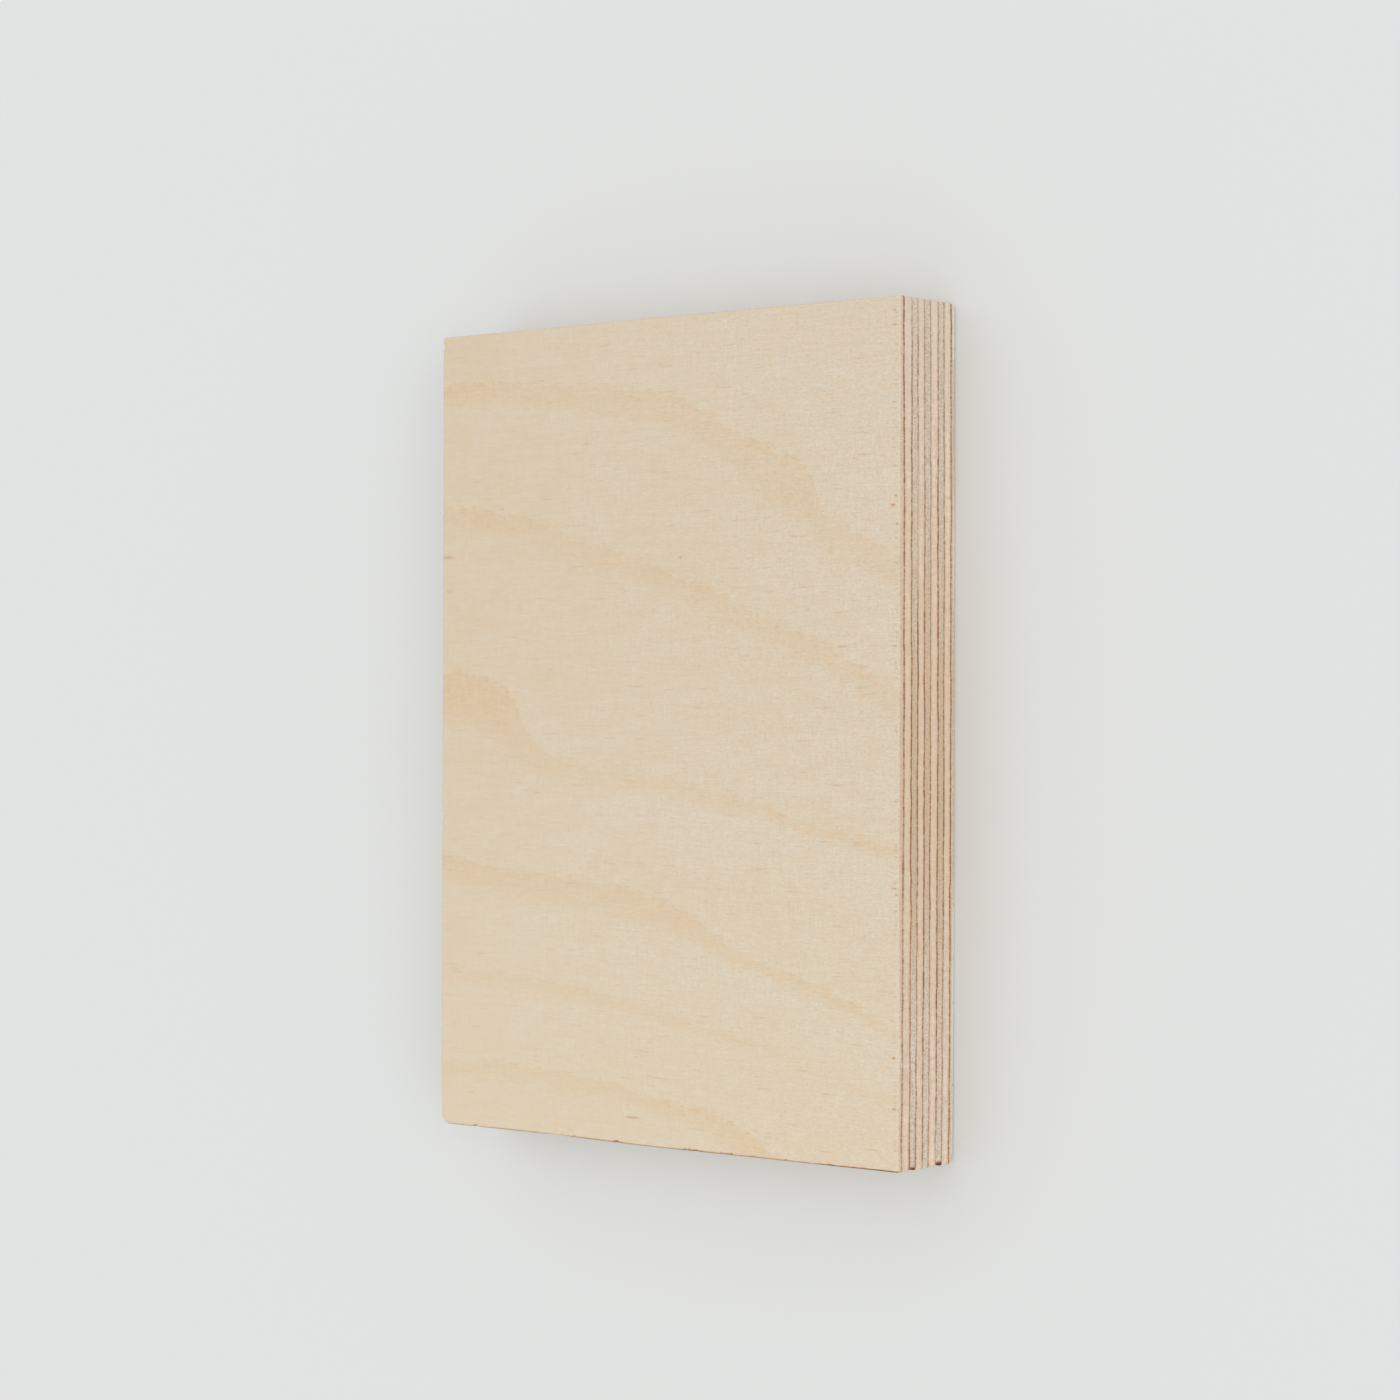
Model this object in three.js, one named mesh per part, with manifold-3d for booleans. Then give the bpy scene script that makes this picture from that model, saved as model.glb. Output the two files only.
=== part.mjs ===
// A cut piece of nine-ply birch plywood, lying flat with its sanded face up.
//
// Millimetres, +Z up. X runs along the grain of the face, Y along the longer side of the
// piece, and the origin is the middle of the underside. Each veneer is a solid of its own,
// and neighbours meet face to face at the same height.

import * as THREE from "three";
import Module from "manifold-3d";
import { mergeVertices } from "three/addons/utils/BufferGeometryUtils.js";

// ---------------------------------------------------------------- driving dimensions

const SHEET_WIDTH = 75; // along X
const SHEET_LENGTH = 105; // along Y
const SHEET_THICKNESS = 11.75; // a 12 mm board, sanded

// The lay-up from the underside to the face, and how many parts of the thickness each veneer
// takes. Long plies have their grain along X, like the two outer veneers, and cross plies
// along Y. Peeled veneer varies a little, and sanding has thinned the two outer ones.
const LAY_UP = [
  { name: "back_veneer", parts: 21, grain: "outer" },
  { name: "cross_ply_8", parts: 30, grain: "cross" },
  { name: "long_ply_7", parts: 25, grain: "long" },
  { name: "cross_ply_6", parts: 31, grain: "cross" },
  { name: "centre_ply_5", parts: 25, grain: "long" },
  { name: "cross_ply_4", parts: 28, grain: "cross" },
  { name: "long_ply_3", parts: 26, grain: "long" },
  { name: "cross_ply_2", parts: 31, grain: "cross" },
  { name: "face_veneer", parts: 18, grain: "outer" },
];
const PART = SHEET_THICKNESS / LAY_UP.reduce((sum, { parts }) => sum + parts, 0);

// The sharp edges are broken with sandpaper. Handling has worn the back edge rounder
// towards each corner.
const FACE_ARRIS_RADIUS = 0.3;
const BACK_ARRIS_RADIUS = 0.35;
const LEAST_LAND = 0.05; // square edge left between a rounding and the glue line
const ARRIS_STEPS = 5;

// The four upright corners, anticlockwise from +X +Y, each with its own radius in plan and
// the radius of the back edge where it turns the corner. One has been knocked rounder.
const CORNER_RADIUS = 0.3;
const CORNERS = [
  { x: 1, y: 1, radius: CORNER_RADIUS, backRadius: 2 * BACK_ARRIS_RADIUS },
  { x: -1, y: 1, radius: 1.3 * CORNER_RADIUS, backRadius: 1.6 * BACK_ARRIS_RADIUS },
  { x: -1, y: -1, radius: 3.7 * CORNER_RADIUS, backRadius: 1.7 * BACK_ARRIS_RADIUS },
  { x: 1, y: -1, radius: CORNER_RADIUS, backRadius: 2.7 * BACK_ARRIS_RADIUS },
];
const CORNER_STEPS = 6;
const END_BORDER = 2; // how wide a border a flat end has round its middle rectangle

// How a corner's wear dies away along the sides next to it: half of it at once, and the
// rest slowly. On a short side it stops before it meets the wear of the next corner.
const WEAR_REACH = 30;
const WEAR_FADE = [
  { distance: WEAR_REACH / 12, share: 0.48 },
  { distance: WEAR_REACH, share: 0 },
];
const MOST_OF_SIDE = 0.4;

// Where the saw left the cut at the +X -Y corner it broke slivers out of two long plies:
// each is a wedge along the grain, deepest at the corner, as tall as its ply.
const SLIVER_LENGTH = 2.4;
const SLIVER_DEPTH = 0.42;
const BREAK_OUTS = [
  { ply: "long_ply_3", length: SLIVER_LENGTH, depth: 0.67 * SLIVER_DEPTH },
  { ply: "long_ply_7", length: 0.83 * SLIVER_LENGTH, depth: SLIVER_DEPTH },
];
const CUTTER_MARGIN = 0.5; // how far a cutter reaches past what it cuts

// ---------------------------------------------------------------- materials

const MATERIALS = {
  outer: new THREE.MeshStandardMaterial({ color: 0xdbcbb2, roughness: 0.62, metalness: 0 }),
  cross: new THREE.MeshStandardMaterial({ color: 0xd6c5ae, roughness: 0.7, metalness: 0 }),
  long: new THREE.MeshStandardMaterial({ color: 0xc9b8a2, roughness: 0.8, metalness: 0 }),
};

// ---------------------------------------------------------------- shapes

const { Manifold, Mesh: SolidMesh } = await loadSolids();

async function loadSolids() {
  const wasm = await Module();
  wasm.setup();
  return wasm;
}

// A corner's arc in plan. All its points are drawn in along the diagonal, so the arc keeps
// its radius however far it goes in.
function roundCorner(corner, quarter) {
  const { x, y, radius, backRadius } = corner;
  const centreX = x * (SHEET_WIDTH / 2 - radius);
  const centreY = y * (SHEET_LENGTH / 2 - radius);
  const start = (quarter * Math.PI) / 2;
  const arc = new THREE.EllipseCurve(centreX, centreY, radius, radius, start, start + Math.PI / 2);
  const inwards = new THREE.Vector2(-x, -y);
  return arc.getPoints(CORNER_STEPS).map((place) => ({ place, inwards, backRadius, corner }));
}

// The places along the straight side between two corners where the back edge's radius is
// set. They are drawn in square to the side.
function wornSide(corner, next) {
  const [start, end] = [corner, next].map(
    ({ x, y }) => new THREE.Vector2((x * SHEET_WIDTH) / 2, (y * SHEET_LENGTH) / 2),
  );
  const length = start.distanceTo(end);
  const along = end.clone().sub(start).divideScalar(length);
  const inwards = new THREE.Vector2(-along.y, along.x);
  const fade = (worn) =>
    WEAR_FADE.map(({ distance, share }) => ({
      distance: Math.min(distance, MOST_OF_SIDE * length),
      backRadius: THREE.MathUtils.lerp(BACK_ARRIS_RADIUS, worn.backRadius, share),
      corner: worn,
    }));
  const arriving = fade(next).map((stop) => ({ ...stop, distance: length - stop.distance }));
  return [...fade(corner), ...arriving.reverse()].map(({ distance, ...stop }) => ({
    place: start.clone().addScaledVector(along, distance),
    inwards,
    ...stop,
  }));
}

// The rim of the sheet in plan, anticlockwise, and the same rim with the places where the
// wear of the back edge changes.
const RIM = CORNERS.flatMap(roundCorner);
const WORN_RIM = CORNERS.flatMap((corner, quarter) => [
  ...roundCorner(corner, quarter),
  ...wornSide(corner, CORNERS[(quarter + 1) % CORNERS.length]),
]);

// A closed solid through levels of a rim, listed from the lowest up. A level gives each
// point of the rim its height and how far it is drawn in. The flat ends are a rectangle
// with a border: each point of the rim joins the rectangle's corner that it belongs to.
function loft(rim, levels) {
  const rings = levels.map((level) =>
    rim.map((point) => {
      const { height, inset } = level(point);
      const { x, y } = point.place.clone().addScaledVector(point.inwards, inset);
      return [x, y, height];
    }),
  );
  const rectangles = [rings[0], rings.at(-1)].map(([[, , height]]) =>
    CORNERS.map(({ x, y }) => [
      x * (SHEET_WIDTH / 2 - END_BORDER),
      y * (SHEET_LENGTH / 2 - END_BORDER),
      height,
    ]),
  );
  const count = rim.length;
  const top = (rings.length - 1) * count;
  const under = top + count;
  const over = under + CORNERS.length;
  const faces = [under, under + 2, under + 1, under, under + 3, under + 2];
  faces.push(over, over + 1, over + 2, over, over + 2, over + 3);
  for (let i = 0; i < count; i++) {
    const next = (i + 1) % count;
    for (let ring = 0; ring < top; ring += count) {
      const [a, b, c, d] = [ring + i, ring + next, ring + next + count, ring + i + count];
      faces.push(a, b, c, a, c, d);
    }
    const [from, to] = [i, next].map((point) => CORNERS.indexOf(rim[point].corner));
    faces.push(under + from, next, i, over + from, top + i, top + next);
    if (from !== to) {
      faces.push(under + from, under + to, next, over + from, top + next, over + to);
    }
  }
  const geometry = new THREE.BufferGeometry();
  const positions = [...rings, ...rectangles].flat(2);
  geometry.setAttribute("position", new THREE.Float32BufferAttribute(positions, 3));
  geometry.setIndex(faces);
  return geometry;
}

// A level of the full outline.
function square(height) {
  return () => ({ height, inset: 0 });
}

// The levels of a rounded arris, from the full outline to the flat of the face.
function arris(flatHeight, side, radiusAt) {
  return Array.from({ length: ARRIS_STEPS + 1 }, (_, step) => {
    const turn = (step / ARRIS_STEPS) * (Math.PI / 2);
    return (point) => ({
      height: flatHeight - side * radiusAt(point) * (1 - Math.sin(turn)),
      inset: radiusAt(point) * (1 - Math.cos(turn)),
    });
  });
}

// One veneer between two glue lines. The outer two end in their arrises.
function veneer({ name }, bottom, top) {
  const most = top - bottom - LEAST_LAND;
  if (name === "face_veneer") {
    const broken = arris(top, 1, () => Math.min(FACE_ARRIS_RADIUS, most));
    return loft(RIM, [square(bottom), ...broken]);
  }
  if (name === "back_veneer") {
    const worn = arris(bottom, -1, ({ backRadius }) => Math.min(backRadius, most));
    return loft(WORN_RIM, [...worn.reverse(), square(top)]);
  }
  return loft(RIM, [square(bottom), square(top)]);
}

// ---------------------------------------------------------------- break-outs

function toSolid(geometry) {
  const merged = mergeVertices(geometry);
  return new Manifold(
    new SolidMesh({
      numProp: 3,
      vertProperties: merged.attributes.position.array,
      triVerts: new Uint32Array(merged.index.array),
    }),
  );
}

function toGeometry(solid) {
  const { vertProperties, triVerts } = solid.getMesh();
  const geometry = new THREE.BufferGeometry();
  geometry.setAttribute("position", new THREE.BufferAttribute(vertProperties, 3));
  geometry.setIndex(new THREE.BufferAttribute(triVerts, 1));
  return geometry;
}

// The wedge a sliver leaves at the +X -Y corner: a triangle in plan that starts flush with
// the -Y edge and runs out through the +X edge.
function sliver({ length, depth }, bottom, top) {
  const slope = depth / length;
  const cornerX = SHEET_WIDTH / 2;
  const edgeY = -SHEET_LENGTH / 2;
  const plan = new THREE.Shape([
    new THREE.Vector2(cornerX - length - CUTTER_MARGIN, edgeY - slope * CUTTER_MARGIN),
    new THREE.Vector2(cornerX + CUTTER_MARGIN, edgeY - slope * CUTTER_MARGIN),
    new THREE.Vector2(cornerX + CUTTER_MARGIN, edgeY + depth + slope * CUTTER_MARGIN),
  ]);
  const geometry = new THREE.ExtrudeGeometry(plan, {
    depth: top - bottom + 2 * CUTTER_MARGIN,
    bevelEnabled: false,
  });
  geometry.deleteAttribute("normal");
  geometry.deleteAttribute("uv");
  return geometry.translate(0, 0, bottom - CUTTER_MARGIN);
}

function withBreakOuts(geometry, { name }, bottom, top) {
  return BREAK_OUTS.filter(({ ply }) => ply === name).reduce(
    (left, breakOut) => toGeometry(toSolid(left).subtract(toSolid(sliver(breakOut, bottom, top)))),
    geometry,
  );
}

// ---------------------------------------------------------------- the sheet

const sheet = new THREE.Group();
let height = 0;
for (const ply of LAY_UP) {
  const top = height + ply.parts * PART;
  const geometry = withBreakOuts(veneer(ply, height, top), ply, height, top);
  const mesh = new THREE.Mesh(geometry.toNonIndexed(), MATERIALS[ply.grain]);
  mesh.geometry.computeVertexNormals();
  mesh.name = ply.name;
  sheet.add(mesh);
  height = top;
}

export default sheet;
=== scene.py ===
"""The looks of a cut piece of nine-ply birch plywood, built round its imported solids.

Each veneer is one closed mesh that stands for its solid. Neighbouring veneers share the
surface on which they are glued, so the glue lines wander a little and never gap. Sawing,
sanding and wear only take wood away, so nothing stands out of the solids' box.

Meshes are in metres. The finishes work in millimetres.
"""

import itertools
import math

import bpy
import numpy as np
from mathutils import Matrix, Vector


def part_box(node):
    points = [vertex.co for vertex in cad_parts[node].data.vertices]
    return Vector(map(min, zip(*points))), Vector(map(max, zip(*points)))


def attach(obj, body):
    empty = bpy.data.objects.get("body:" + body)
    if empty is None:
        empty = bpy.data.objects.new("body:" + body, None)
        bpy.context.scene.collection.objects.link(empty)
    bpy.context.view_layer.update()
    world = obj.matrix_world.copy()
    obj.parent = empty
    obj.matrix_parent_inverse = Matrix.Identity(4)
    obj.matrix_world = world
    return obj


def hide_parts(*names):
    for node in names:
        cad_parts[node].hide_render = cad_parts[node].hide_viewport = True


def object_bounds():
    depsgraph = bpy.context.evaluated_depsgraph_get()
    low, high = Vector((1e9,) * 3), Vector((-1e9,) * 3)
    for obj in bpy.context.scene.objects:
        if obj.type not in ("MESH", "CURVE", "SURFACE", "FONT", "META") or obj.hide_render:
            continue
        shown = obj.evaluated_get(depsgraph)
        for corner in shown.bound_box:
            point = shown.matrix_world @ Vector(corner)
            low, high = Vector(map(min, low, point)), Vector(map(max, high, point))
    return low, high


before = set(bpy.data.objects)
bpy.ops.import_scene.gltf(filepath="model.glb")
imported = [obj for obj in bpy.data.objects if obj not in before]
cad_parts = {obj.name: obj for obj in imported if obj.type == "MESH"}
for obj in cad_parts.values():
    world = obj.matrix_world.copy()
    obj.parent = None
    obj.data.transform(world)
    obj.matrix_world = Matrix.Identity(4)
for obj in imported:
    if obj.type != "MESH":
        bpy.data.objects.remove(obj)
cad_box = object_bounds()

MM = 0.001

# ------------------------------------------------------------------ the sheet

PLIES = sorted(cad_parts, key=lambda node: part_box(node)[0].z)  # the back veneer first
LEVELS = [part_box(node)[0].z for node in PLIES] + [cad_box[1].z]
HALF = np.array(cad_box[1][:2])  # half the width and half the length

# The roundings that sandpaper and handling left.
CORNER_RADII = {(1, 1): 0.28 * MM, (-1, 1): 0.4 * MM, (-1, -1): 1.6 * MM, (1, -1): 0.3 * MM}
FACE_ARRIS = 0.3 * MM
BACK_ARRIS = 0.32 * MM
END_WEAR = 0.9  # how much rounder the back's arris is at its ends
END_WEAR_FADE = (2 * MM, 30 * MM)  # how far from a corner that starts to fade, and is gone
ARRIS_STEPS = 6

# How far handling wore down the back's four corners, along X, Y and Z.
WORN_CORNERS = {
    (1, -1): (1.1 * MM, 2.3 * MM, 1.2 * MM), (1, 1): (0.8 * MM, 2.1 * MM, 1.0 * MM),
    (-1, 1): (0.6 * MM, 0.8 * MM, 0.6 * MM), (-1, -1): (0.8 * MM, 0.7 * MM, 0.6 * MM),
}
CORNER_CUT = 0.75  # 1 cuts a corner flat, and less leaves it round

# Cells of the broad faces. A sawn edge has two columns of faces to each cell.
CELLS_ACROSS = 176
CELLS_ALONG = 304
CROWDING = 0.6  # 0 spaces the cells evenly; towards 1 they crowd to the edges
EDGE_ROWS = (0, 0.05, 0.14, 0.3, 0.5, 0.7, 0.86, 0.95, 1)  # up an inner veneer
OUTER_ROWS = (0, 0.1, 0.28, 0.5, 0.75, 1)  # up an outer veneer, to where its arris starts
GLUED_INSETS = (0.2 * MM, 0.6 * MM, 1.4 * MM, 3 * MM, 6 * MM, 12 * MM, 22 * MM)

# How far the edge surface falls back from the true cut.
SAW_MARK = 0.012 * MM
END_PIT = 0.030 * MM
SIDE_GROOVE = 0.014 * MM
GLUE_DRIFT = 0.06 * MM
GLUE_RIPPLE = 0.08 * MM
GLUE_BOW = (-0.07 * MM, -0.05 * MM, 0.22 * MM)  # the glue lines rise towards both ends
GLUE_FADE = (0.5 * MM, 3 * MM)  # how far in from the edge that starts to fade, and is gone
GLUE_PROUD = 0.35  # share of the saw's marks that a glue line takes, so it stands proud
FACE_RELIEF = 0.008 * MM
ARRIS_WEAR = 0.3  # share of an arris radius that comes and goes along it
CHIP_DEPTH = 0.14 * MM
CHIPPED = (0.55, 0.95)  # the noise at which a chip starts, and at which it is deepest
LIP = 0.12 * MM  # the least wood left between a glue line and an arris

# How long the bumps of each kind of unevenness are along X, Y and Z.
DRIFT_BUMPS = (7 * MM, 7 * MM, MM)
RIPPLE_BUMPS = (1.6 * MM, 1.6 * MM, MM)
SAW_BUMPS = (0.7 * MM, 0.7 * MM, 60 * MM)
PIT_BUMPS = (0.22 * MM, 0.22 * MM, 0.22 * MM)
GROOVE_LENGTH, GROOVE_WIDTH = 6 * MM, 0.3 * MM
SLOW_WEAR_BUMPS = (11 * MM, 11 * MM, MM)
QUICK_WEAR_BUMPS = (1.3 * MM, 1.3 * MM, MM)
CHIP_BUMPS = (0.5 * MM, 0.5 * MM, MM)
SWELL_BUMPS = (14 * MM, 5 * MM, MM)
FIBRE_BUMPS = (5 * MM, 0.7 * MM, MM)
BREAK_BUMPS = (0.9 * MM, 0.9 * MM, 0.25 * MM)

# The first ring of a broad side lies this many arris depths in, and a little more.
BORDER_DEPTHS = 1.35
BORDER_MORE = 0.1 * MM
GRID_GAP = 0.25 * MM  # from that ring to the grid

# How short each end is cut at its -X corner. It is whole from the middle of the sheet on.
CUT_SHORT = {-1: 0.21 * MM, 1: 0.12 * MM}
SHORT_FROM = 22 * MM
SHORT_REACH = 4 * MM

# Slivers that broke out of two long plies at the +X -Y corner: length along X, and depth.
BREAK_OUTS = {"long_ply_3": (2.4 * MM, 0.26 * MM), "long_ply_7": (2.0 * MM, 0.4 * MM)}
BREAK_REACH = 2.5  # the wood beside a break-out gives way over this many depths
BREAK_RAGGED = 0.25  # share of a break-out's depth that comes and goes

# ------------------------------------------------------------------ noise for the meshes


def cell_value(cells, seed):
    """A repeatable number between -1 and 1 for each whole-numbered cell."""
    mixed = cells @ np.array([73856093, 19349663, 83492791]) + seed * 2654435761
    mixed = (mixed ^ (mixed >> 13)) * 1274126177
    mixed = mixed ^ (mixed >> 16)
    return (mixed & 0xFFFFFF) / 0x7FFFFF - 1


def rough(points, lengths, seed):
    """Smooth noise between -1 and 1 with bumps of these lengths along X, Y and Z."""
    place = points / np.array(lengths)
    cell = np.floor(place).astype(np.int64)
    part = place - cell
    part = part * part * (3 - 2 * part)
    total = np.zeros(len(points))
    for corner in itertools.product((0, 1), repeat=3):
        weight = np.prod(np.where(corner, part, 1 - part), axis=1)
        total += weight * cell_value(cell + corner, seed)
    return total


def ramp(values, start, end):
    """0 up to start and 1 from end on, with a smooth turn between."""
    part = np.clip((values - start) / (end - start), 0, 1)
    return part * part * (3 - 2 * part)


# ------------------------------------------------------------------ outline and rings


def crowded(half, cells):
    """Places from -half to half, closer together towards both ends."""
    even = np.linspace(-1, 1, cells + 1)
    return half * ((1 - CROWDING) * even + CROWDING * np.sin(even * math.pi / 2))


def square_outline():
    """The columns of a sawn edge, anticlockwise from the -X -Y corner, with square corners."""
    across = crowded(HALF[0], 2 * CELLS_ACROSS)
    along = crowded(HALF[1], 2 * CELLS_ALONG)
    sides = (
        (across[:-1], np.full(len(across) - 1, -HALF[1])),
        (np.full(len(along) - 1, HALF[0]), along[:-1]),
        (across[:0:-1], np.full(len(across) - 1, HALF[1])),
        (np.full(len(along) - 1, -HALF[0]), along[:0:-1]),
    )
    return np.concatenate([np.stack(side, axis=1) for side in sides])


def rounded_outline():
    """The same columns on the outline with its corners rounded."""
    outline = square_outline()
    for signs, radius in CORNER_RADII.items():
        corner = HALF * signs
        gaps = np.abs(corner - outline)
        near = gaps.max(axis=1) < radius
        turn = (1 - gaps.max(axis=1)[near] / radius) * math.pi / 4
        lengthwise = gaps[near, 0] > gaps[near, 1]
        far, close = radius * (1 - np.sin(turn)), radius * (1 - np.cos(turn))
        gap_x = np.where(lengthwise, far, close)
        gap_y = np.where(lengthwise, close, far)
        outline[near] = corner - np.stack([gap_x, gap_y], axis=1) * signs
    return outline


OUTLINE = rounded_outline()
COLUMNS = len(OUTLINE)


def outward(plan):
    """The level direction that faces out of the sheet at each column."""
    run = np.roll(plan, -1, axis=0) - np.roll(plan, 1, axis=0)
    run /= np.linalg.norm(run, axis=1, keepdims=True)
    return np.stack([run[:, 1], -run[:, 0]], axis=1)


OUTWARD = outward(OUTLINE)


def drawn_in(inset, step=1):
    """The outline drawn in by an inset on all four sides, with every step-th column."""
    inset = np.broadcast_to(inset, COLUMNS)[::step, None]
    return OUTLINE[::step] * (1 - inset / HALF)


def at_height(plan, height):
    return np.column_stack([plan, np.broadcast_to(height, len(plan))])


# ------------------------------------------------------------------ sawing, glue and wear


def glue_height(level, plan, inset):
    """Where the glued surface at a level really runs. It is flat away from the edges."""
    if level in (0, len(LEVELS) - 1):
        return np.full(len(plan), LEVELS[level])
    points = at_height(plan, 0.0)
    drift = GLUE_DRIFT * rough(points, DRIFT_BUMPS, 100 + level)
    ripple = GLUE_RIPPLE * rough(points, RIPPLE_BUMPS, 200 + level)
    bow = np.polynomial.Polynomial(GLUE_BOW)(plan[:, 1] / HALF[1])
    fade = 1 - ramp(np.broadcast_to(inset, len(plan)), *GLUE_FADE)
    return LEVELS[level] + (drift + ripple + bow) * fade


def sawn(plan, height, grain, seed):
    """How far a sawn edge falls back: pitted across the grain, grooved along it."""
    points = at_height(plan, height)
    end = np.abs(OUTWARD @ grain)
    marks = rough(points, SAW_BUMPS, 300)
    pits = rough(points, PIT_BUMPS, seed)
    groove_bumps = [*np.where(grain, GROOVE_LENGTH, GROOVE_WIDTH), GROOVE_WIDTH]
    grooves = rough(points, groove_bumps, seed + 1)
    pitted = END_PIT * ramp(pits, -0.2, 1)
    grooved = SIDE_GROOVE * ramp(grooves, -1, 1)
    return SAW_MARK * ramp(marks, -1, 1) + end * pitted + (1 - end) * grooved


def broken_out(points, ply):
    """The points of a veneer with its corner sliver gone."""
    if ply not in BREAK_OUTS:
        return points
    length, depth = BREAK_OUTS[ply]
    lost = depth / length * np.clip(points[:, 0] - (HALF[0] - length), 0, None)
    lost *= 1 + BREAK_RAGGED * rough(points, BREAK_BUMPS, 410)
    reach = BREAK_REACH * np.maximum(lost, 1e-9)
    left = 1 - np.clip((points[:, 1] + HALF[1]) / reach, 0, 1)
    moved = points.copy()
    moved[:, 1] += lost * left
    return moved


def cut_askew(points):
    """The points with both ends a little short towards their -X corners."""
    moved = points.copy()
    for side, short in CUT_SHORT.items():
        near = ramp(side * points[:, 1], HALF[1] - SHORT_REACH, HALF[1])
        moved[:, 1] -= side * short * near * ramp(-points[:, 0], 0.0, SHORT_FROM)
    return moved


def worn(points):
    """The points with the back's corners worn down."""
    for signs, reach in WORN_CORNERS.items():
        inwards = np.array([-signs[0], -signs[1], 1.0])
        corner = np.array([*(HALF * signs), 0.0])
        gaps = (points - corner) * inwards / reach
        short = CORNER_CUT * np.clip(1 - gaps.sum(axis=1), 0, None)
        points = points + short[:, None] / 3 * reach * inwards
    return points


def arris_radius(nominal, end_wear, seed):
    """The radius that an arris has at each column."""
    points = at_height(OUTLINE, 0.0)
    slow = rough(points, SLOW_WEAR_BUMPS, seed)
    quick = rough(points, QUICK_WEAR_BUMPS, seed + 1)
    near_end = 1 - ramp((HALF - np.abs(OUTLINE)).max(axis=1), *END_WEAR_FADE)
    return nominal * (1 + ARRIS_WEAR * (0.7 * slow + 0.3 * quick) + end_wear * near_end)


def chips(seed):
    """How deep the arris is chipped at each column. Most of it is whole."""
    points = at_height(OUTLINE, 0.0)
    return CHIP_DEPTH * ramp(rough(points, CHIP_BUMPS, seed), *CHIPPED)


def sanded(plan, seed):
    """How far a sanded face falls back from its highest points."""
    points = at_height(plan, 0.0)
    swell = rough(points, SWELL_BUMPS, seed)
    fibres = rough(points, FIBRE_BUMPS, seed + 1)
    return FACE_RELIEF * ramp(0.6 * swell + 0.4 * fibres, -1, 1)


# ------------------------------------------------------------------ meshes

BAKE_MAP = "OFBake"
MAP_PIXELS = 1024
NO_GLUE = 10.0  # further from a glue line than any shader looks, in millimetres
SHARP_ANGLE = math.radians(50)

# The bake map gives the sawn edge, folded into short runs, most of an inner veneer's pixels.
# Outer veneers share theirs between the face and the edge. Places are in pixels, and scales
# in pixels for each metre.
INNER_MAP = {
    "folds": 15, "edge_at": (4, 4), "edge_scale": 27 / MM, "fold_gap": 6,
    "lower_at": (4, 760), "upper_at": (260, 760), "glued_scale": 2.35 / MM,
}
OUTER_MAP = {
    "folds": 30, "edge_at": (716, 4), "edge_scale": 13.5 / MM, "fold_gap": 4,
    "glued_at": (716, 870), "glued_scale": 1.4 / MM, "broad_at": (4, 8), "broad_scale": 9.4 / MM,
}


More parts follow.
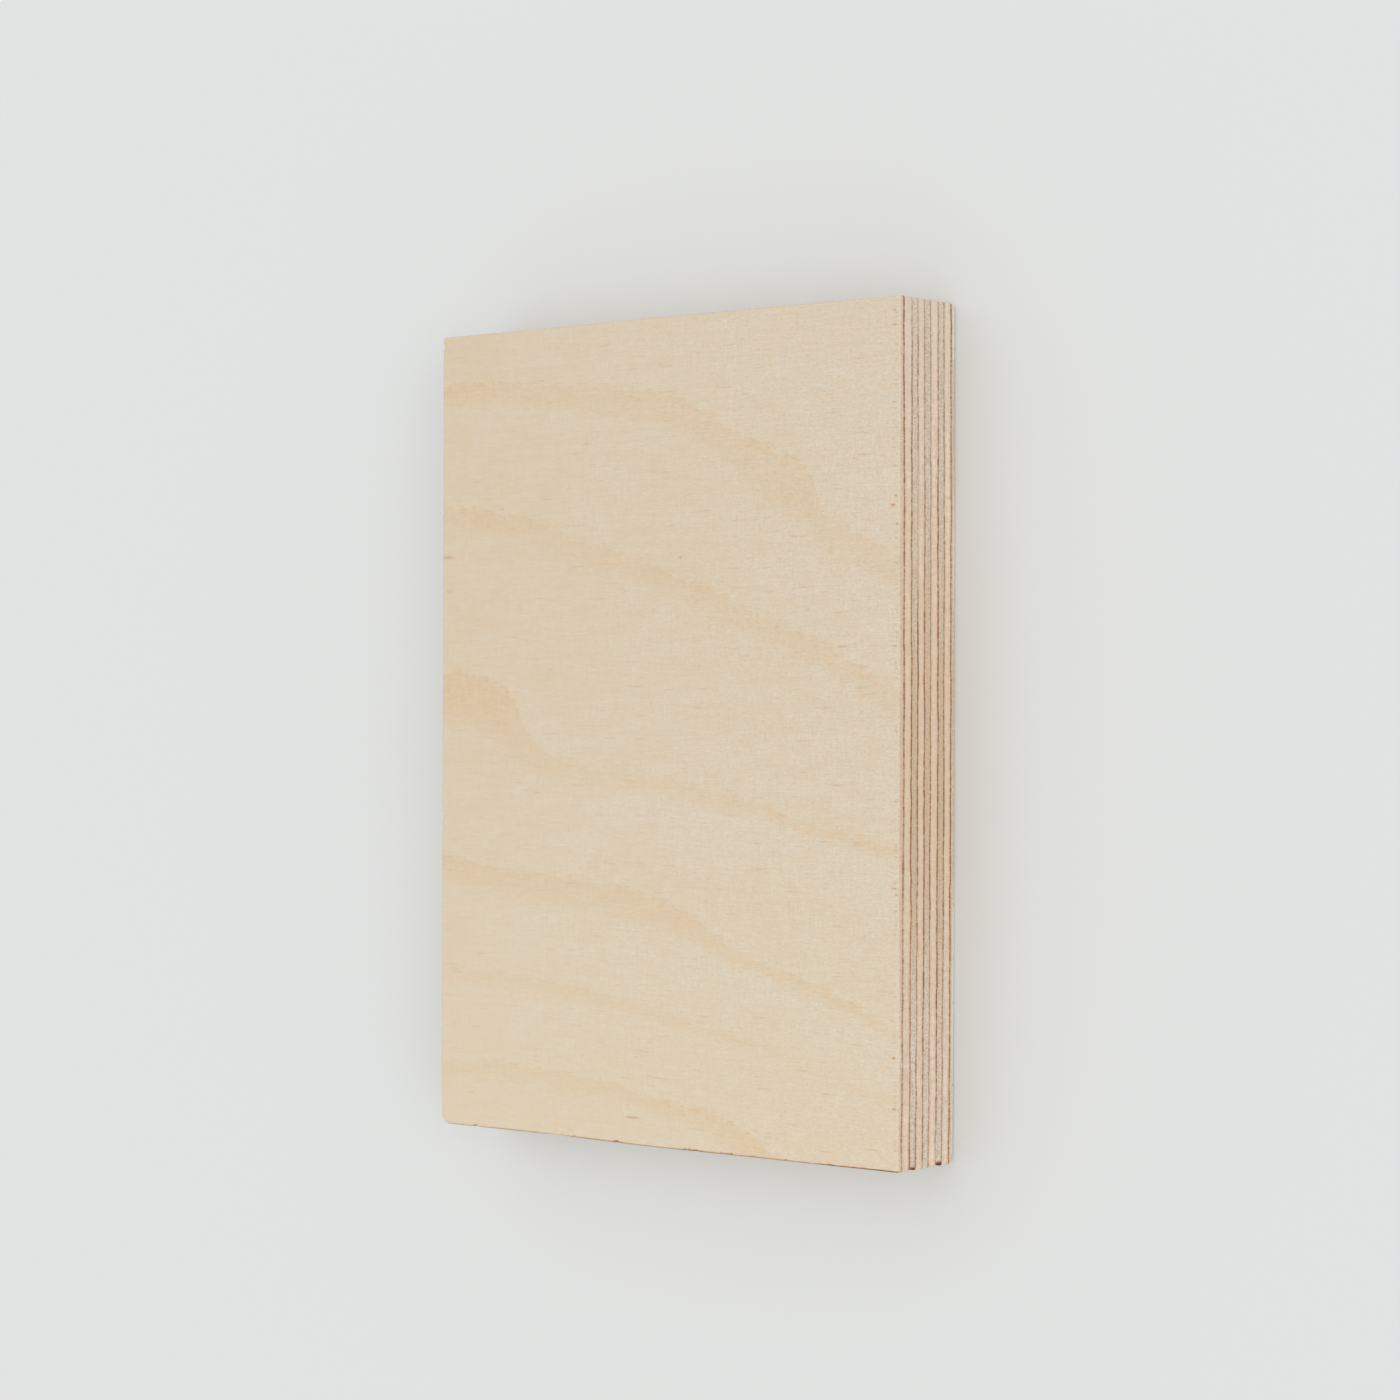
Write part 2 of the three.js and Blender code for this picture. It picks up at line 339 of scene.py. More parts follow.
class Skin:
    """One veneer's closed surface while it is being made."""

    def __init__(self, ply, layout):
        self.ply = ply
        self.layout = layout
        self.points = np.empty((0, 3))
        self.glue_below = np.empty(0)
        self.glue_above = np.empty(0)
        self.faces = []
        self.map_places = []
        self.slots = []
        steps = np.linalg.norm(np.roll(OUTLINE, -1, axis=0) - OUTLINE, axis=1)
        self.column_left = np.concatenate([[0], np.cumsum(steps)[:-1]])
        self.column_right = self.column_left + steps
        self.fold = np.arange(COLUMNS) * layout["folds"] // COLUMNS
        starts = self.column_left[np.searchsorted(self.fold, np.arange(layout["folds"]))]
        self.column_left = self.column_left - starts[self.fold]
        self.column_right = self.column_right - starts[self.fold]

    def ring(self, plan, height, below=NO_GLUE, above=NO_GLUE):
        """Adds points at one height and returns their numbers."""
        added = worn(cut_askew(broken_out(at_height(plan, height), self.ply)))
        numbers = np.arange(len(added)) + len(self.points)
        self.points = np.concatenate([self.points, added])
        self.glue_below = np.concatenate([self.glue_below, np.broadcast_to(below, len(added))])
        self.glue_above = np.concatenate([self.glue_above, np.broadcast_to(above, len(added))])
        return numbers

    def add(self, faces, map_places, slot):
        self.faces += faces.tolist()
        self.map_places.append(np.reshape(map_places, (-1, 2)) / MAP_PIXELS)
        self.slots += [slot] * len(faces)

    def wrap(self, rings, rises):
        """Quads round the edge between rings, which lie at these rises up the map's runs."""
        at, scale = self.layout["edge_at"], self.layout["edge_scale"]
        tall = rises[-1] * scale + self.layout["fold_gap"]
        for low, high, rise, next_rise in zip(rings, rings[1:], rises, rises[1:]):
            quads = np.stack([low, np.roll(low, -1), np.roll(high, -1), high], axis=1)
            u = np.stack([self.column_left, self.column_right] * 2, axis=1)[:, [0, 1, 3, 2]]
            v = np.array([rise, rise, next_rise, next_rise])
            u = at[0] + u * scale
            v = at[1] + self.fold[:, None] * tall + v * scale
            self.add(quads, np.stack([u, v], axis=2), 0)

    def laid(self, faces, at, scale, slot):
        """Adds faces whose map places are their plan, laid with its corner at a pixel."""
        plan = self.points[np.array(faces)][..., :2]
        self.add(np.array(faces), at + (plan + HALF) * scale, slot)

    def halve(self, outer, inner, up, at, scale, slot):
        """Triangles from a ring to one inside it with half the points."""
        first, second, third = outer[0::2], outer[1::2], np.roll(outer, -2)[0::2]
        after = np.roll(inner, -1)
        triples = ((first, second, inner), (second, after, inner), (second, third, after))
        faces = np.concatenate([np.stack(triple, axis=1) for triple in triples])
        self.laid(faces if up else faces[:, ::-1], at, scale, slot)

    def glued_side(self, level, edge, up, at):
        """Closes the skin with the glued surface at a level, from its edge ring inwards."""
        scale = self.layout["glued_scale"]
        outer, step = edge, 1
        for inset in GLUED_INSETS:
            step *= 2
            plan = drawn_in(inset, step)
            inner = self.ring(plan, glue_height(level, plan, inset), 0.0, 0.0)
            self.halve(outer, inner, up, at, scale, 1)
            outer = inner
        self.laid([outer if up else outer[::-1]], at, scale, 1)

    def broad_side(self, border, spread, up, height_of):
        """Closes the skin with a broad face: a border ring, then a grid that fills it."""
        at, scale = self.layout["broad_at"], self.layout["broad_scale"]
        plan = drawn_in(spread, 2)
        inner = self.ring(plan, height_of(plan))
        self.halve(border, inner, up, at, scale, 0)
        grid = self.fill_grid(inner, height_of)
        quads = [grid[:-1, :-1], grid[1:, :-1], grid[1:, 1:], grid[:-1, 1:]]
        quads = np.stack([quad.ravel() for quad in quads], axis=1)
        self.laid(quads if up else quads[:, ::-1], at, scale, 0)

    def fill_grid(self, ring, height_of):
        """Point numbers of a grid inside a ring. Its lines run straight between the sides."""
        a, b = CELLS_ACROSS, CELLS_ALONG
        grid = np.zeros((a + 1, b + 1), int)
        grid[:, 0] = ring[: a + 1]
        grid[a, :] = ring[a : a + b + 1]
        grid[:, b] = ring[a + b : 2 * a + b + 1][::-1]
        grid[0, :] = np.append(ring[2 * a + b :], ring[0])[::-1]
        plan = self.points[grid][..., :2]
        u = np.linspace(0, 1, a + 1)[:, None, None]
        v = np.linspace(0, 1, b + 1)[None, :, None]
        filled = (1 - v) * plan[:, :1] + v * plan[:, -1:] + (1 - u) * plan[:1] + u * plan[-1:]
        filled -= (1 - u) * ((1 - v) * plan[:1, :1] + v * plan[:1, -1:])
        filled -= u * ((1 - v) * plan[-1:, :1] + v * plan[-1:, -1:])
        inside = filled[1:-1, 1:-1].reshape(-1, 2)
        grid[1:-1, 1:-1] = self.ring(inside, height_of(inside)).reshape(a - 1, b - 1)
        return grid

    def made(self, name, finishes):
        """The piece, as an object with its finishes, bake map and glue distances."""
        mesh = bpy.data.meshes.new(name)
        mesh.from_pydata(self.points.tolist(), [], self.faces)
        places = np.concatenate(self.map_places).astype(np.float32)
        mesh.uv_layers.new(name=BAKE_MAP).data.foreach_set("uv", places.ravel())
        for attribute, values in (("glue_below", self.glue_below), ("glue_above", self.glue_above)):
            layer = mesh.attributes.new(attribute, "FLOAT", "POINT")
            layer.data.foreach_set("value", values.astype(np.float32))
        mesh.polygons.foreach_set("material_index", np.array(self.slots, np.int32))
        mesh.polygons.foreach_set("use_smooth", np.ones(len(self.faces), bool))
        mesh.set_sharp_from_angle(angle=SHARP_ANGLE)
        for finish in finishes:
            mesh.materials.append(finish)
        piece = bpy.data.objects.new(name, mesh)
        bpy.context.scene.collection.objects.link(piece)
        return piece


def grain_of(ply):
    """The direction that a veneer's grain runs in, in plan."""
    return np.array([0.0, 1.0]) if ply.startswith("cross") else np.array([1.0, 0.0])


def cut_back(height, ply, seed, share=1.0):
    """The outline at a height with the saw's marks and the wood's own relief."""
    return OUTLINE - OUTWARD * (share * sawn(OUTLINE, height, grain_of(ply), seed))[:, None]


def inner_veneer(ply, level, finishes):
    """A veneer between two glue lines."""
    skin = Skin(ply, INNER_MAP)
    bottom = glue_height(level, OUTLINE, 0.0)
    top = glue_height(level + 1, OUTLINE, 0.0)
    rings = []
    for share in EDGE_ROWS:
        height = bottom + (top - bottom) * share
        depth = GLUE_PROUD if share in (0, 1) else 1.0
        plan = cut_back(height, ply, 10 * level, depth)
        rings.append(skin.ring(plan, height, (height - bottom) / MM, (top - height) / MM))
    thickness = LEVELS[level + 1] - LEVELS[level]
    skin.wrap(rings, np.array(EDGE_ROWS) * thickness)
    skin.glued_side(level, rings[0], False, INNER_MAP["lower_at"])
    skin.glued_side(level + 1, rings[-1], True, INNER_MAP["upper_at"])
    return skin.made(ply + "_birch", finishes)


def outer_veneer(ply, level, finishes):
    """The face or the back veneer: one glued side, and one broad side with broken arrises."""
    up = level > 0
    side = 1 if up else -1
    skin = Skin(ply, OUTER_MAP)
    glued, broad = (level, LEVELS[level + 1]) if up else (level + 1, LEVELS[0])
    nominal = FACE_ARRIS if up else BACK_ARRIS
    start = glue_height(glued, OUTLINE, 0.0)
    chip = chips(600 + level)
    radius = arris_radius(nominal, 0.0 if up else END_WEAR, 500 + level)
    radius = np.minimum(radius, abs(broad - start) - chip - LIP)
    rings, rises = [], []

    def ring_at(plan, height, rise):
        gap = np.abs(height - start) / MM
        below, above = (gap, NO_GLUE) if up else (NO_GLUE, gap)
        rings.append(skin.ring(plan, height, below, above))
        rises.append(rise)

    arris_at = broad - side * (radius + chip)
    straight = abs(broad - LEVELS[glued]) - nominal
    for share in OUTER_ROWS:
        height = start + (arris_at - start) * share
        depth = GLUE_PROUD if share == 0 else 1.0
        ring_at(cut_back(height, ply, 10 * level, depth), height, share * straight)

    def height_of(plan):
        return broad - side * sanded(plan, 700 + level)

    for step in range(1, ARRIS_STEPS + 1):
        turn = step / ARRIS_STEPS * math.pi / 2
        height = broad - side * (radius * (1 - math.sin(turn)) + chip * (1 - step / ARRIS_STEPS))
        plan = drawn_in(radius * (1 - math.cos(turn)) + chip * math.sin(turn))
        relief = sawn(OUTLINE, height, grain_of(ply), 10 * level) * math.cos(turn)
        plan = plan - OUTWARD * relief[:, None]
        height = height - side * sanded(plan, 700 + level) * math.sin(turn)
        ring_at(plan, height, straight + nominal * turn)
    border = BORDER_DEPTHS * (nominal + CHIP_DEPTH) + BORDER_MORE
    plan = drawn_in(border)
    ring_at(plan, height_of(plan), straight + nominal * math.pi / 2 + border - nominal)
    if not up:  # the edge runs up the mesh from the broad side
        rings.reverse()
        rises = [rises[-1] - rise for rise in reversed(rises)]
    skin.wrap(rings, rises)
    glued_ring, broad_ring = (rings[0], rings[-1]) if up else (rings[-1], rings[0])
    skin.glued_side(glued, glued_ring, not up, OUTER_MAP["glued_at"])
    skin.broad_side(broad_ring, border + GRID_GAP, up, height_of)
    return skin.made(ply + "_birch", finishes)


# ------------------------------------------------------------------ nodes

NOISE_SPREAD = 0.1  # the usual deviation of a Noise texture from its middle


class Amount:
    """The output of a node. Sums on it add Math nodes."""

    def __init__(self, nodes, socket):
        self.nodes = nodes
        self.socket = socket

    def __add__(self, other):
        return self.nodes.maths("ADD", self, other)

    def __radd__(self, other):
        return self.nodes.maths("ADD", other, self)

    def __sub__(self, other):
        return self.nodes.maths("SUBTRACT", self, other)

    def __rsub__(self, other):
        return self.nodes.maths("SUBTRACT", other, self)

    def __mul__(self, other):
        return self.nodes.maths("MULTIPLY", self, other)

    def __rmul__(self, other):
        return self.nodes.maths("MULTIPLY", other, self)

    def __truediv__(self, other):
        return self.nodes.maths("DIVIDE", self, other)

    def __rtruediv__(self, other):
        return self.nodes.maths("DIVIDE", other, self)

    def __abs__(self):
        return self.nodes.maths("ABSOLUTE", self)


class Nodes:
    """A node tree, and the only way that nodes get into it."""

    def __init__(self, tree):
        self.tree = tree
        self.tree.nodes.clear()

    def add(self, kind, settings=None, sockets=None, outputs=0):
        """Adds a node with its settings, then the values or links of its sockets."""
        node = self.tree.nodes.new(kind)
        for name, value in (settings or {}).items():
            if name == "curve":
                draw_curve(node.mapping, value)
            else:
                setattr(node, name, value)
        for name, value in (sockets or {}).items():
            if isinstance(value, Amount):
                self.tree.links.new(value.socket, node.inputs[name])
            else:
                node.inputs[name].default_value = value
        if isinstance(outputs, tuple):
            return [Amount(self, node.outputs[output]) for output in outputs]
        return Amount(self, node.outputs[outputs]) if node.outputs else None

    def maths(self, operation, first, second=0.0):
        return self.add("ShaderNodeMath", {"operation": operation}, {0: first, 1: second})

    def vector(self, operation, first, second=(0, 0, 0), output=0):
        sockets = {0: first, 1: second}
        return self.add("ShaderNodeVectorMath", {"operation": operation}, sockets, output)

    def blend(self, share, first, second):
        """A colour that goes from first to second as share goes from 0 to 1."""
        sockets = {0: share, 6: first, 7: second}
        return self.add("ShaderNodeMix", {"data_type": "RGBA"}, sockets, 2)

    def step(self, value, start, end):
        """0 up to start and 1 from end on, with a smooth turn. start may be the larger."""
        sockets = {"Value": value, "From Min": start, "From Max": end}
        return self.add("ShaderNodeMapRange", {"interpolation_type": "SMOOTHSTEP"}, sockets)

    def noise(self, place, lengths, shift=0.0, detail=1.0):
        """Noise about 0, usually 1 from it, with bumps of these lengths in millimetres."""
        scaled = self.vector("MULTIPLY", place, [1 / length for length in lengths])
        moved = self.vector("ADD", scaled, (shift, shift * 1.7, shift * 0.6))
        sockets = {"Vector": moved, "Scale": 1.0, "Detail": detail, "Roughness": 0.55}
        return (self.add("ShaderNodeTexNoise", None, sockets) - 0.5) / NOISE_SPREAD

    def flecks(self, place, spacing, size, share, shift):
        """1 on small marks scattered over XY, in a share of the spaces, and 0 elsewhere."""
        grid = self.vector("MULTIPLY", place, (1 / spacing[0], 1 / spacing[1], 0))
        grid = self.vector("ADD", grid, (shift, shift, 0))
        cells = {"voronoi_dimensions": "2D"}
        sockets = {"Vector": grid, "Scale": 1.0}
        middle, chances = self.add("ShaderNodeTexVoronoi", cells, sockets, ("Position", "Color"))
        away = self.vector("SUBTRACT", grid, middle)
        widen = (spacing[0] / size[0], spacing[1] / size[1], 0)
        away = self.vector("LENGTH", self.vector("MULTIPLY", away, widen), output="Value")
        chance, length, _ = self.parts(chances)
        return self.step(away / (0.5 + length), 1.0, 0.4) * self.maths("LESS_THAN", chance, share)

    def place(self):
        """Where the surface is, in millimetres."""
        point = self.add("ShaderNodeTexCoord", None, None, "Object")
        return self.vector("MULTIPLY", point, (1 / MM, 1 / MM, 1 / MM))

    def facing(self, way):
        """How squarely the surface faces along a direction, either way: 0 to 1."""
        normal = self.add("ShaderNodeNewGeometry", None, None, "Normal")
        return abs(self.vector("DOT_PRODUCT", normal, way, "Value"))

    def parts(self, vector):
        return self.add("ShaderNodeSeparateXYZ", None, {0: vector}, (0, 1, 2))

    def attribute(self, name):
        return self.add("ShaderNodeAttribute", {"attribute_name": name}, None, "Fac")

    def larger(self, first, second):
        return self.maths("MAXIMUM", first, second)

    def drawn(self, at, half, points, low, high):
        """A number that follows points from -half to half and lies between low and high."""
        share = (at + half) / (2 * half)
        shares = [((x + half) / (2 * half), (value - low) / (high - low)) for x, value in points]
        curve = self.add("ShaderNodeFloatCurve", {"curve": shares}, {"Value": share})
        return curve * (high - low) + low


def draw_curve(mapping, points):
    """Gives a curve its points. Two of them are the curve's own ends."""
    curve = mapping.curves[0]
    for _ in range(len(points) - len(curve.points)):
        curve.points.new(0.5, 0.5)
    for point, place in zip(curve.points, points):
        point.location = place
    mapping.update()


def tint(red, green, blue):
    """A colour from its sRGB numbers of 0 to 255."""
    shares = [number / 255 for number in (red, green, blue)]
    return [s / 12.92 if s <= 0.04045 else ((s + 0.055) / 1.055) ** 2.4 for s in shares] + [1.0]


def wood_surface(name, paint):
    """A matt wood finish. paint adds nodes, and returns colour, roughness, height and depth."""
    material = bpy.data.materials.new(name)
    material.use_nodes = True
    nodes = Nodes(material.node_tree)
    colour, roughness, height, depth = paint(nodes)
    bump = nodes.add("ShaderNodeBump", None, {"Distance": depth, "Height": height})
    sockets = {"Base Color": colour, "Roughness": roughness, "Normal": bump}
    sockets["Specular IOR Level"] = WOOD_SHINE
    shader = nodes.add("ShaderNodeBsdfPrincipled", None, sockets)
    nodes.add("ShaderNodeOutputMaterial", None, {"Surface": shader})
    return material


# ------------------------------------------------------------------ birch

WOOD_SHINE = 0.25

FACE_WARM = tint(218, 201, 174)
FACE_COOL = tint(221, 212, 197)
FACE_DEEP = tint(206, 185, 156)
FACE_DULL = tint(200, 184, 159)
FACE_ROSY = tint(223, 202, 174)
# Painted light, which makes the face paler towards its -Y end.
FACE_PAINTED_LIGHT = tint(255, 243, 207)
RING_TAN = tint(218, 177, 126)
RING_FLECK = tint(210, 181, 144)
PORE_BROWN = tint(206, 164, 124)
# Brown of small marks, and of the painted shadow in the two on the -Y arris.
FLECK_PALE = tint(228, 218, 196)
MARK_AND_SHADOW_BROWN = tint(186, 136, 90)
PIN_ORANGE = tint(198, 140, 82)
END_GREY = tint(219, 208, 191)
END_TAN = tint(214, 191, 160)
END_DARK = tint(190, 171, 147)
END_SANDED = tint(219, 204, 183)
# Pale end grain, used towards the -Y end and as painted light on the back's edge near the floor.
END_WORN_AND_LIT = tint(228, 226, 216)
# Painted shadow under the -Y end's arris, mixed with the wood's own brown.
BROWN_AND_SHADOW = tint(88, 58, 40)
# Painted shade in a broken-out notch, mixed with the torn fibres' own brown.
TORN_AND_SHADE_BROWN = tint(142, 82, 48)
SIDE_PALE = tint(235, 219, 200)
SIDE_DEEP = tint(215, 195, 172)
SIDE_TAN = tint(220, 197, 169)
GLUE_STAIN = tint(222, 184, 148)
GLUE_RED = tint(165, 105, 76)
GLUE_DULL = tint(161, 122, 103)
GLUE_FILM = tint(118, 66, 42)
GLUE_FILM_THIN = tint(150, 104, 74)

# How strongly a glue line shows. 1 would be the glue's full colour if no line had paler spots.
FAINT, WEAK, FAIR, FULL, STRONG = 0.35, 0.65, 0.85, 1.05, 1.3

# The glue lines from the back up: how strongly each shows at places along Y in mm, and how
# much of it is dull.
GLUE_SHOWS = (
    ((-48, FULL), (-30, FULL), (-16, STRONG), (0, FULL), (16, FULL), (32, FAIR), (48, FULL)),
    ((-48, WEAK), (-34, WEAK), (-14, FULL), (0, FAIR), (27, FAIR), (48, WEAK)),
    ((-48, WEAK), (-38, FULL), (-16, STRONG), (0, FULL), (20, STRONG), (34, FAIR), (48, WEAK)),
    ((-48, WEAK), (-36, WEAK), (-18, FULL), (0, FAIR), (24, WEAK), (48, WEAK)),
    ((-48, FAIR), (-38, FULL), (-16, STRONG), (6, FULL), (20, FAIR), (48, WEAK)),
    ((-48, FAIR), (-20, FAIR), (0, STRONG), (14, FULL), (21, FAINT), (31, FAINT), (39, FAIR), (48, WEAK)),
    ((-48, FULL), (-36, FAIR), (-18, STRONG), (0, STRONG), (16, FAIR), (32, FULL), (48, WEAK)),
    ((-52, WEAK), (-44, FAIR), (-16, FAIR), (0, FULL), (20, FULL), (38, STRONG), (48, STRONG)),
)
GLUE_DULLED = (0.5, 0.1, 0.0, 0.0, 0.1, 0.0, 0.1, 0.75)

# How deeply glue stained the face veneer's +X edge at places along Y in mm.
FACE_STAIN = ((-48, 0.5), (-30, 0.35), (-8, 0.8), (16, 0.6), (32, 0.65), (48, 0.9))

# Cross plies that are paler than the others, or darker.
PALER_PLIES = {"cross_ply_2": -0.12, "cross_ply_4": -0.14, "cross_ply_6": 0.05, "cross_ply_8": 0.13}

# Dark growth rings of the face: the points of each ring's upper line in mm, how far below it
# the colour has half faded, how strongly it shows, and how pale the wood below it is.
FACE_RINGS = (
    {
        "line": ((-37.5, 45.4), (-29.4, 45.8), (-16.6, 44.7), (-2.9, 43.4), (2.8, 42.0),
                 (7.6, 40.2), (10.8, 38.1), (18.9, 34.7), (22.1, 33.5), (24.5, 30.7),
                 (26.1, 26.8), (31, 24.2), (37.5, 20.6)),
        "fade": ((-37.5, 2.6), (-18, 2.8), (-6, 3.6), (5, 3.7), (12, 4.5), (19, 7.0),
                 (26, 6.0), (32, 3.4), (37.5, 3.0)),
        "shows": ((-37.5, 0.45), (-26, 0.35), (-6, 0.3), (14, 0.3), (21, 0.35), (28, 0.25),
                  (37.5, 0.3)),
        "paler": 0.3,
    },
    {
        "line": ((-37.5, 29.6), (-25.4, 28.3), (-13.3, 24.6), (2.8, 19.8), (18.9, 13.5),
                 (26.9, 10.6), (37.5, 4.8)),
        "fade": ((-37.5, 2.4), (-26, 2.9), (0, 2.7), (37.5, 2.8)),
        "shows": ((-37.5, 0.35), (-26, 0.35), (-18, 0.25), (5, 0.35), (14, 0.3), (21, 0.35),
                  (37.5, 0.25)),
        "paler": 0.0,
    },
    {
        "line": ((-37.5, 7.2), (-32.7, 7.4), (-27.8, 6.0), (-24.6, 4.0), (-23, 0.8),
                 (-19.8, -2.5), (-14.1, -4.1), (-6.9, -5.1), (10.8, -7.7), (26.9, -11.5),
                 (37.5, -13.4)),
        "fade": ((-37.5, 5.6), (-34, 5.8), (-27, 7.4), (-23, 5.4), (-19, 3.2), (-13, 2.3),
                 (0, 1.9), (14, 1.8), (24, 1.5), (37.5, 1.6)),
        "shows": ((-37.5, 0.5), (-26, 0.45), (-18, 0.25), (14, 0.25), (21, 0.3), (37.5, 0.35)),
        "paler": 1.0,
    },
    {
        "line": ((-37.5, -16.2), (-25.4, -18.5), (-15.7, -19), (0.4, -21.1), (5.2, -23.1),
                 (9.2, -25.5), (14.9, -27.9), (22.9, -30.1), (37.5, -35.8)),
        "fade": ((-37.5, 2.8), (-23, 3.1), (-8, 3.6), (4, 3.2), (12, 1.9), (20, 1.5),
                 (37.5, 1.3)),
        "shows": ((-37.5, 0.45), (-26, 0.35), (-6, 0.35), (5, 0.4), (14, 0.25), (21, 0.35),
                  (37.5, 0.25)),
        "paler": 0.7,
    },
    {
        "line": ((-37.5, -31.7), (-9.3, -33.7), (10.8, -37.3), (35, -43.4), (37.5, -44.1)),
        "fade": ((-37.5, 1.9), (0, 1.6), (18, 1.1), (37.5, 1.0)),
        "shows": ((-37.5, 0.25), (-26, 0.15), (-12, 0.25), (5, 0.2), (37.5, 0.1)),
        "paler": 0.4,
    },
    {
        "line": ((-37.5, -43.8), (-15, -44.3), (2.8, -46.8), (9.2, -47.7), (14, -49.3),
                 (18, -51.6), (24, -53.6), (37.5, -57)),
        "fade": ((-37.5, 2.2), (-18, 2.2), (-6, 1.8), (5, 2.0), (14, 4.0), (37.5, 3.0)),
        "shows": ((-37.5, 0.25), (-18, 0.3), (5, 0.45), (37.5, 0.5)),
        "paler": 0.0,
    },
)

# Small marks in the face: the middle's X and Y, the length and the height in mm, and how
# strongly each shows. The last two of the first set, on the -Y arris, are painted shadow under
# that edge. The second set is orange, and all but its first are fibres that the saw
# tore beside the +X edge.
FACE_MARKS = (
    (-36.4, 23.0, 3.0, 0.55, 0.4), (-36.2, 18.5, 2.0, 0.6, 0.2), (-12.0, 37.0, 2.0, 0.3, 0.25),
    (-34.5, -32.0, 2.4, 0.5, 0.15), (-18.0, 35.0, 1.0, 0.2, 0.15), (-18.0, 8.0, 1.0, 0.25, 0.2),
    (31.5, 5.5, 1.5, 0.4, 0.2), (19.0, 13.0, 1.0, 0.4, 0.2), (-20.5, -8.0, 1.4, 0.4, 0.25),
    (3.6, 22.0, 0.8, 0.4, 0.5), (-4.0, -49.0, 3.0, 0.4, 0.5), (1.5, -46.5, 2.2, 0.5, 0.2),
    (-32.0, -47.8, 2.2, 0.3, 0.2), (31.5, -13.5, 2.2, 0.4, 0.15), (5.3, -52.25, 0.9, 0.3, 0.9),
    (12.0, -52.25, 0.7, 0.3, 0.8),
)
TORN_FIBRES = (
    (29.0, 10.5, 2.0, 0.5, 0.35),
    (36.7, 50.7, 0.8, 0.3, 0.5), (36.7, 49.0, 0.9, 0.3, 0.75), (36.8, 45.8, 0.8, 0.25, 0.4),
    (36.7, 39.7, 1.2, 0.3, 0.5), (36.8, 39.0, 0.8, 0.3, 0.25), (36.6, 34.3, 0.9, 0.25, 0.3),
    (36.8, 32.1, 1.0, 0.3, 0.5), (36.9, 28.5, 0.7, 0.3, 0.65), (36.5, 27.4, 1.0, 0.4, 0.85),
    (37.1, 25.1, 0.6, 0.3, 0.8), (37.0, 23.4, 0.6, 0.3, 0.4), (37.1, 11.5, 0.6, 0.3, 0.4),
    (36.9, 10.5, 0.7, 0.3, 0.7), (37.2, 0.3, 0.4, 0.3, 0.4), (37.1, -8.1, 0.7, 0.25, 0.55),
    (36.6, -10.5, 1.0, 0.25, 0.4), (36.8, -18.5, 1.3, 0.3, 0.65), (37.1, -19.3, 0.6, 0.3, 0.75),
    (36.8, -38.8, 0.7, 0.35, 0.9), (36.9, -41.7, 0.6, 0.25, 0.25), (36.9, -44.9, 0.7, 0.35, 0.8),
)

# How strongly the -Y end's arris darkens at places along X in mm: an orange rim that is the
# wood's own colour, then painted shadow under the edge, mixed with the wood's own brown.
ARRIS_BROWN_AND_SHADOW_SHOWS = (
    (-37.5, 0.05), (-33, 0.5), (-20, 0.5), (-17, 0.1), (-13, 0.6), (5, 0.7), (20, 0.6),
    (28, 0.9), (32, 1.0), (36.5, 1.0), (37.5, 0.6),
)

# Painted light on the lower half of the back veneer's +X edge, where the floor would shade it:
# how much shows at places along Y.
BACK_PAINTED_LIGHT = (
    (-48, 1.0), (-35, 1.0), (-23, 0.75), (-12, 0.05), (0, 0.0), (12, 0.1), (23, 0.55), (35, 0.05),
    (46, 0.4),
)


def growth_rings(nodes, place, shift):
    """How much shows of the dark growth rings, and of the paler wood below them: 0 to 1."""
    x, y, _ = nodes.parts(place)
    fibres = nodes.noise(place, (1.9, 0.24, 1.0), shift + 3.0)
    blocks = nodes.noise(place, (1.3, 0.9, 2.0), shift + 5.0)
    sway = nodes.noise(place, (7.0, 7.0, 7.0), shift + 8.0)
    line = y - 0.2 * fibres - 0.22 * blocks - 0.12 * sway
    half = HALF[0] / MM
    shown, paler = 0.0, 0.0
    for ring in FACE_RINGS:
        depth = nodes.drawn(x, half, ring["line"], -60.0, 60.0) - line
        share = depth / nodes.drawn(x, half, ring["fade"], 0.0, 10.0)
        strength = nodes.step(depth, -0.38, 0.2) * nodes.drawn(x, half, ring["shows"], 0.0, 1.0)
        faded = nodes.step(share, 1.4, 0.6) * (1.0 + 0.3 * nodes.step(depth, 1.1, 0.3))
        shown = nodes.larger(strength * faded, shown)
        if ring["paler"]:
            below = nodes.step(share, 0.8, 1.25) * nodes.step(depth, 12.0, 2.0)
            paler = nodes.larger(ring["paler"] * below, paler)
    dashes = nodes.noise(place, (1.5, 0.26, 1.0), shift + 12.0)
    weave = nodes.noise(place, (0.5, 2.2, 3.0), shift + 15.0, 0.0)
    return shown * (1.0 + 0.12 * dashes + 0.1 * blocks + 0.1 * weave), paler


def small_marks(nodes, place, marks):
    """How much shows of a set of small marks."""
    shown = 0.0
    for x, y, length, height, shows in marks:
        away = nodes.vector("SUBTRACT", place, (x, y, 0))
        away = nodes.vector("MULTIPLY", away, (2 / length, 2 / height, 0))
        away = nodes.vector("LENGTH", away, output="Value")
        shown = nodes.larger(nodes.step(away, 1.1, 0.3) * shows, shown)
    return shown


def fibre_ends(nodes, place):
    """How much shows of the faint fibre ends that the saw left beside the +X edge."""
    x, _, _ = nodes.parts(place)
    gap = HALF[0] / MM - x
    ticks = nodes.noise(place, (0.9, 0.22, 5.0), 92.0, 0.0)
    clumps = nodes.noise(place, (9.0, 5.0, 9.0), 93.0, 0.0)
    shown = nodes.step(ticks + 0.6 * clumps, 0.9, 2.6) * nodes.step(gap, 0.15, 0.3)
    return shown * nodes.step(gap, 0.9, 0.4)


